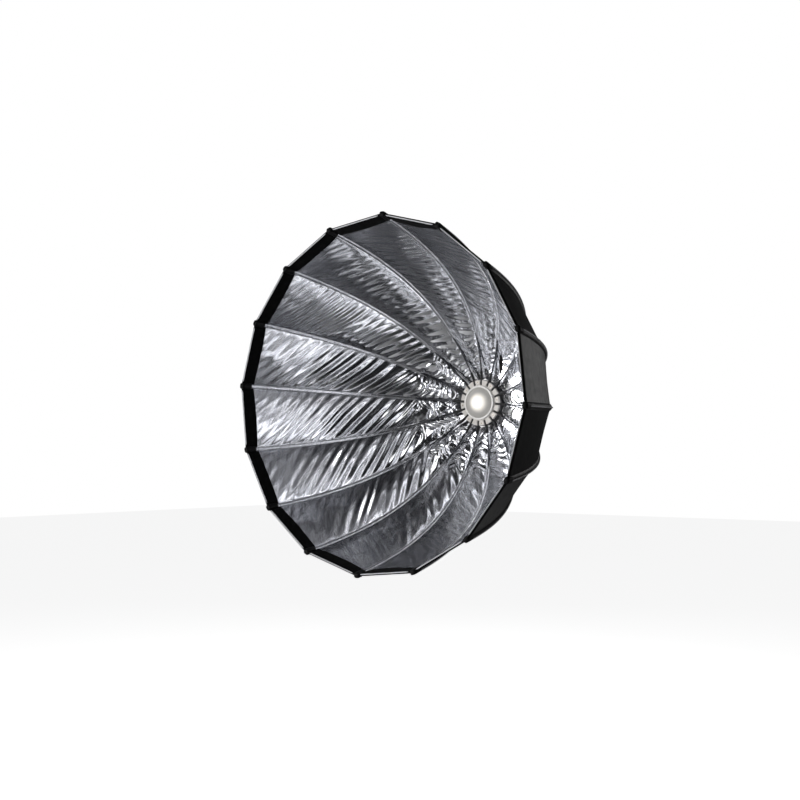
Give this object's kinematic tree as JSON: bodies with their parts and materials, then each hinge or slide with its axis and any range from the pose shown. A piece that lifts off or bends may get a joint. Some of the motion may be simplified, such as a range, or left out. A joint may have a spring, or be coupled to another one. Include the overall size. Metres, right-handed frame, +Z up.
{
  "type": "octabox",
  "caption": "Deep round folding softbox: silver-lined cloth bag on hinged sprung rods round a slotted hub that turns on a lamp adapter.",
  "frame": {"origin": "lamp axis, in the plane of the adapter's rear face that the lamp seats on", "axes": "+Y along the lamp axis, out of the throat towards the lamp; the bag opens towards -Y; +Z up as pictured"},
  "size_m": [0.904, 0.5511, 0.904],
  "materials": {
    "adapter_enamel": "satin black enamel",
    "collar_steel": "zinc-plated steel, turned",
    "fastener_steel": "plated screws",
    "washer_nylon": "natural nylon",
    "frosted_glass": "frosted white glass, lit from behind by the lamp's modelling light",
    "dome_ring_enamel": "white enamel",
    "hub_face_alloy": "warm satin anodised",
    "hub_casting": "black coated casting",
    "pin_steel": "ground steel pins",
    "hem_band_steel": "black coated spring band",
    "knob_plastic": "moulded, fluted",
    "rod_steel": "black lacquered spring steel",
    "rod_end_plastic": "black moulded",
    "bag_cloth": "crinkled silver-coated lining inside, black woven cloth outside"
  },
  "bodies": {
    "adapter": {"adapter_body": "adapter_enamel", "bayonet_collar": "collar_steel", "collar_screws": "fastener_steel", "friction_washer": "washer_nylon", "frosted_dome": "frosted_glass", "dome_ring": "dome_ring_enamel"},
    "hub": {"hub_front_ring": "hub_face_alloy", "hub_back_ring": "hub_casting", "pivot_pins": "pin_steel", "hub_screws": "fastener_steel", "hem_band": "hem_band_steel"},
    "lock_screw": {"lock_knob": "knob_plastic"},
    "rib_01": {"rod_01": "rod_steel", "rod_ends_01": "rod_end_plastic"},
    "panel_01": {"bag_panel_01": "bag_cloth"},
    "rib_02": {"rod_02": "rod_steel", "rod_ends_02": "rod_end_plastic"},
    "panel_02": {"bag_panel_02": "bag_cloth"},
    "rib_03": {"rod_03": "rod_steel", "rod_ends_03": "rod_end_plastic"},
    "panel_03": {"bag_panel_03": "bag_cloth"},
    "rib_04": {"rod_04": "rod_steel", "rod_ends_04": "rod_end_plastic"},
    "panel_04": {"bag_panel_04": "bag_cloth"},
    "rib_05": {"rod_05": "rod_steel", "rod_ends_05": "rod_end_plastic"},
    "panel_05": {"bag_panel_05": "bag_cloth"},
    "rib_06": {"rod_06": "rod_steel", "rod_ends_06": "rod_end_plastic"},
    "panel_06": {"bag_panel_06": "bag_cloth"},
    "rib_07": {"rod_07": "rod_steel", "rod_ends_07": "rod_end_plastic"},
    "panel_07": {"bag_panel_07": "bag_cloth"},
    "rib_08": {"rod_08": "rod_steel", "rod_ends_08": "rod_end_plastic"},
    "panel_08": {"bag_panel_08": "bag_cloth"},
    "rib_09": {"rod_09": "rod_steel", "rod_ends_09": "rod_end_plastic"},
    "panel_09": {"bag_panel_09": "bag_cloth"},
    "rib_10": {"rod_10": "rod_steel", "rod_ends_10": "rod_end_plastic"},
    "panel_10": {"bag_panel_10": "bag_cloth"},
    "rib_11": {"rod_11": "rod_steel", "rod_ends_11": "rod_end_plastic"},
    "panel_11": {"bag_panel_11": "bag_cloth"},
    "rib_12": {"rod_12": "rod_steel", "rod_ends_12": "rod_end_plastic"},
    "panel_12": {"bag_panel_12": "bag_cloth"},
    "rib_13": {"rod_13": "rod_steel", "rod_ends_13": "rod_end_plastic"},
    "panel_13": {"bag_panel_13": "bag_cloth"},
    "rib_14": {"rod_14": "rod_steel", "rod_ends_14": "rod_end_plastic"},
    "panel_14": {"bag_panel_14": "bag_cloth"},
    "rib_15": {"rod_15": "rod_steel", "rod_ends_15": "rod_end_plastic"},
    "panel_15": {"bag_panel_15": "bag_cloth"},
    "rib_16": {"rod_16": "rod_steel", "rod_ends_16": "rod_end_plastic"},
    "panel_16": {"bag_panel_16": "bag_cloth"}
  },
  "joints": [
    {"name": "bag_turn", "type": "hinge", "parent": "adapter", "child": "hub", "pos_m": [0, 0, 0], "axis": [0, 1, 0], "continuous": true},
    {"name": "lock_turn", "type": "hinge", "parent": "hub", "child": "lock_screw", "pos_m": [0.0696, -0.012, 0.0075], "axis": [0.9942, 0, 0.1071], "range_deg": [0, 360]},
    {"name": "rib_fold_01", "type": "hinge", "parent": "hub", "child": "rib_01", "pos_m": [0.00507, -0.038, 0.05677], "axis": [0.996, 0, -0.0889], "range_deg": [0, 38]},
    {"name": "rib_fold_02", "type": "hinge", "parent": "hub", "child": "rib_02", "pos_m": [-0.01705, -0.038, 0.05439], "axis": [0.9542, 0, 0.299], "range_deg": [0, 38]},
    {"name": "rib_fold_03", "type": "hinge", "parent": "hub", "child": "rib_03", "pos_m": [-0.03656, -0.038, 0.04373], "axis": [0.7672, 0, 0.6414], "range_deg": [0, 38]},
    {"name": "rib_fold_04", "type": "hinge", "parent": "hub", "child": "rib_04", "pos_m": [-0.05051, -0.038, 0.02641], "axis": [0.4633, 0, 0.8862], "range_deg": [0, 38]},
    {"name": "rib_fold_05", "type": "hinge", "parent": "hub", "child": "rib_05", "pos_m": [-0.05677, -0.038, 0.00507], "axis": [0.0889, 0, 0.996], "range_deg": [0, 38]},
    {"name": "rib_fold_06", "type": "hinge", "parent": "hub", "child": "rib_06", "pos_m": [-0.05439, -0.038, -0.01705], "axis": [-0.299, 0, 0.9542], "range_deg": [0, 38]},
    {"name": "rib_fold_07", "type": "hinge", "parent": "hub", "child": "rib_07", "pos_m": [-0.04373, -0.038, -0.03656], "axis": [-0.6414, 0, 0.7672], "range_deg": [0, 38]},
    {"name": "rib_fold_08", "type": "hinge", "parent": "hub", "child": "rib_08", "pos_m": [-0.02641, -0.038, -0.05051], "axis": [-0.8862, 0, 0.4633], "range_deg": [0, 38]},
    {"name": "rib_fold_09", "type": "hinge", "parent": "hub", "child": "rib_09", "pos_m": [-0.00507, -0.038, -0.05677], "axis": [-0.996, 0, 0.0889], "range_deg": [0, 38]},
    {"name": "rib_fold_10", "type": "hinge", "parent": "hub", "child": "rib_10", "pos_m": [0.01705, -0.038, -0.05439], "axis": [-0.9542, 0, -0.299], "range_deg": [0, 38]},
    {"name": "rib_fold_11", "type": "hinge", "parent": "hub", "child": "rib_11", "pos_m": [0.03656, -0.038, -0.04373], "axis": [-0.7672, 0, -0.6414], "range_deg": [0, 38]},
    {"name": "rib_fold_12", "type": "hinge", "parent": "hub", "child": "rib_12", "pos_m": [0.05051, -0.038, -0.02641], "axis": [-0.4633, 0, -0.8862], "range_deg": [0, 38]},
    {"name": "rib_fold_13", "type": "hinge", "parent": "hub", "child": "rib_13", "pos_m": [0.05677, -0.038, -0.00507], "axis": [-0.0889, 0, -0.996], "range_deg": [0, 38]},
    {"name": "rib_fold_14", "type": "hinge", "parent": "hub", "child": "rib_14", "pos_m": [0.05439, -0.038, 0.01705], "axis": [0.299, 0, -0.9542], "range_deg": [0, 38]},
    {"name": "rib_fold_15", "type": "hinge", "parent": "hub", "child": "rib_15", "pos_m": [0.04373, -0.038, 0.03656], "axis": [0.6414, 0, -0.7672], "range_deg": [0, 38]},
    {"name": "rib_fold_16", "type": "hinge", "parent": "hub", "child": "rib_16", "pos_m": [0.02641, -0.038, 0.05051], "axis": [0.8862, 0, -0.4633], "range_deg": [0, 38]},
    {"name": "panel_fold_01", "type": "hinge", "parent": "hub", "child": "panel_01", "pos_m": [-0.00599, -0.038, 0.05558], "axis": [0.9942, 0, 0.1071], "range_deg": [0, 38], "deforming": ["bag_panel_01"]},
    {"name": "panel_fold_02", "type": "hinge", "parent": "hub", "child": "panel_02", "pos_m": [-0.0268, -0.038, 0.04906], "axis": [0.8776, 0, 0.4795], "range_deg": [0, 38], "deforming": ["bag_panel_02"]},
    {"name": "panel_fold_03", "type": "hinge", "parent": "hub", "child": "panel_03", "pos_m": [-0.04354, -0.038, 0.03507], "axis": [0.6273, 0, 0.7788], "range_deg": [0, 38], "deforming": ["bag_panel_03"]},
    {"name": "panel_fold_04", "type": "hinge", "parent": "hub", "child": "panel_04", "pos_m": [-0.05364, -0.038, 0.01574], "axis": [0.2815, 0, 0.9596], "range_deg": [0, 38], "deforming": ["bag_panel_04"]},
    {"name": "panel_fold_05", "type": "hinge", "parent": "hub", "child": "panel_05", "pos_m": [-0.05558, -0.038, -0.00599], "axis": [-0.1071, 0, 0.9942], "range_deg": [0, 38], "deforming": ["bag_panel_05"]},
    {"name": "panel_fold_06", "type": "hinge", "parent": "hub", "child": "panel_06", "pos_m": [-0.04906, -0.038, -0.0268], "axis": [-0.4795, 0, 0.8776], "range_deg": [0, 38], "deforming": ["bag_panel_06"]},
    {"name": "panel_fold_07", "type": "hinge", "parent": "hub", "child": "panel_07", "pos_m": [-0.03507, -0.038, -0.04354], "axis": [-0.7788, 0, 0.6273], "range_deg": [0, 38], "deforming": ["bag_panel_07"]},
    {"name": "panel_fold_08", "type": "hinge", "parent": "hub", "child": "panel_08", "pos_m": [-0.01574, -0.038, -0.05364], "axis": [-0.9596, 0, 0.2815], "range_deg": [0, 38], "deforming": ["bag_panel_08"]},
    {"name": "panel_fold_09", "type": "hinge", "parent": "hub", "child": "panel_09", "pos_m": [0.00599, -0.038, -0.05558], "axis": [-0.9942, 0, -0.1071], "range_deg": [0, 38], "deforming": ["bag_panel_09"]},
    {"name": "panel_fold_10", "type": "hinge", "parent": "hub", "child": "panel_10", "pos_m": [0.0268, -0.038, -0.04906], "axis": [-0.8776, 0, -0.4795], "range_deg": [0, 38], "deforming": ["bag_panel_10"]},
    {"name": "panel_fold_11", "type": "hinge", "parent": "hub", "child": "panel_11", "pos_m": [0.04354, -0.038, -0.03507], "axis": [-0.6273, 0, -0.7788], "range_deg": [0, 38], "deforming": ["bag_panel_11"]},
    {"name": "panel_fold_12", "type": "hinge", "parent": "hub", "child": "panel_12", "pos_m": [0.05364, -0.038, -0.01574], "axis": [-0.2815, 0, -0.9596], "range_deg": [0, 38], "deforming": ["bag_panel_12"]},
    {"name": "panel_fold_13", "type": "hinge", "parent": "hub", "child": "panel_13", "pos_m": [0.05558, -0.038, 0.00599], "axis": [0.1071, 0, -0.9942], "range_deg": [0, 38], "deforming": ["bag_panel_13"]},
    {"name": "panel_fold_14", "type": "hinge", "parent": "hub", "child": "panel_14", "pos_m": [0.04906, -0.038, 0.0268], "axis": [0.4795, 0, -0.8776], "range_deg": [0, 38], "deforming": ["bag_panel_14"]},
    {"name": "panel_fold_15", "type": "hinge", "parent": "hub", "child": "panel_15", "pos_m": [0.03507, -0.038, 0.04354], "axis": [0.7788, 0, -0.6273], "range_deg": [0, 38], "deforming": ["bag_panel_15"]},
    {"name": "panel_fold_16", "type": "hinge", "parent": "hub", "child": "panel_16", "pos_m": [0.01574, -0.038, 0.05364], "axis": [0.9596, 0, -0.2815], "range_deg": [0, 38], "deforming": ["bag_panel_16"]}
  ],
  "couplings": [
    {"joint": "rib_fold_02", "follows": "rib_fold_01", "ratio": 1},
    {"joint": "rib_fold_03", "follows": "rib_fold_01", "ratio": 1},
    {"joint": "rib_fold_04", "follows": "rib_fold_01", "ratio": 1},
    {"joint": "rib_fold_05", "follows": "rib_fold_01", "ratio": 1},
    {"joint": "rib_fold_06", "follows": "rib_fold_01", "ratio": 1},
    {"joint": "rib_fold_07", "follows": "rib_fold_01", "ratio": 1},
    {"joint": "rib_fold_08", "follows": "rib_fold_01", "ratio": 1},
    {"joint": "rib_fold_09", "follows": "rib_fold_01", "ratio": 1},
    {"joint": "rib_fold_10", "follows": "rib_fold_01", "ratio": 1},
    {"joint": "rib_fold_11", "follows": "rib_fold_01", "ratio": 1},
    {"joint": "rib_fold_12", "follows": "rib_fold_01", "ratio": 1},
    {"joint": "rib_fold_13", "follows": "rib_fold_01", "ratio": 1},
    {"joint": "rib_fold_14", "follows": "rib_fold_01", "ratio": 1},
    {"joint": "rib_fold_15", "follows": "rib_fold_01", "ratio": 1},
    {"joint": "rib_fold_16", "follows": "rib_fold_01", "ratio": 1},
    {"joint": "panel_fold_01", "follows": "rib_fold_01", "ratio": 1},
    {"joint": "panel_fold_02", "follows": "rib_fold_01", "ratio": 1},
    {"joint": "panel_fold_03", "follows": "rib_fold_01", "ratio": 1},
    {"joint": "panel_fold_04", "follows": "rib_fold_01", "ratio": 1},
    {"joint": "panel_fold_05", "follows": "rib_fold_01", "ratio": 1},
    {"joint": "panel_fold_06", "follows": "rib_fold_01", "ratio": 1},
    {"joint": "panel_fold_07", "follows": "rib_fold_01", "ratio": 1},
    {"joint": "panel_fold_08", "follows": "rib_fold_01", "ratio": 1},
    {"joint": "panel_fold_09", "follows": "rib_fold_01", "ratio": 1},
    {"joint": "panel_fold_10", "follows": "rib_fold_01", "ratio": 1},
    {"joint": "panel_fold_11", "follows": "rib_fold_01", "ratio": 1},
    {"joint": "panel_fold_12", "follows": "rib_fold_01", "ratio": 1},
    {"joint": "panel_fold_13", "follows": "rib_fold_01", "ratio": 1},
    {"joint": "panel_fold_14", "follows": "rib_fold_01", "ratio": 1},
    {"joint": "panel_fold_15", "follows": "rib_fold_01", "ratio": 1},
    {"joint": "panel_fold_16", "follows": "rib_fold_01", "ratio": 1}
  ]
}
